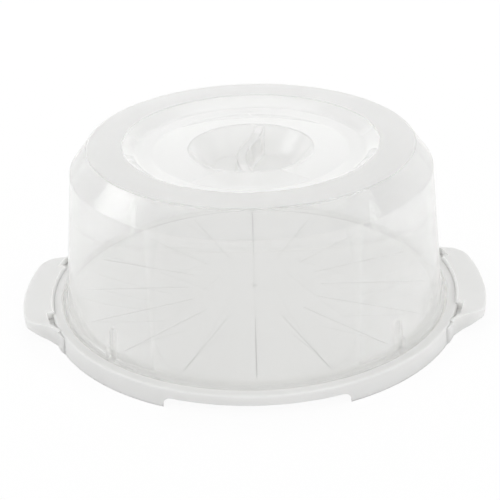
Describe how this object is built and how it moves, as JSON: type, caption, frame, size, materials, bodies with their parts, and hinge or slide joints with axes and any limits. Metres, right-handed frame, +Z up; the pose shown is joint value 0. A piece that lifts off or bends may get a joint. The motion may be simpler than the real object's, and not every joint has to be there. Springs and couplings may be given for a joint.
{
  "type": "round cake carrier",
  "caption": "Round cake carrier: a shallow tray with two carrying ears and portion lines, under a clear domed lid with a recessed S-ridge grip.",
  "frame": {"origin": "middle of the tray's bottom, on the surface it stands on", "axes": "+X towards the right carrying ear, +Y away from the front, +Z up"},
  "size_m": [0.3816, 0.3364, 0.1471],
  "materials": {
    "tray_plastic": "off-white moulded polypropylene, fine satin",
    "lid_clear": "clear moulded plastic, slightly milky, with a satin ring on its flat top"
  },
  "bodies": {
    "base": {"tray": "tray_plastic", "ear_right": "tray_plastic", "ear_left": "tray_plastic"},
    "lid": {"lid_dome": "lid_clear", "lid_grip": "lid_clear"}
  },
  "joints": [
    {"name": "lid_lift", "type": "slide", "parent": "base", "child": "lid", "axis": [0, 0, 1], "range_m": [0, 0.18]}
  ]
}
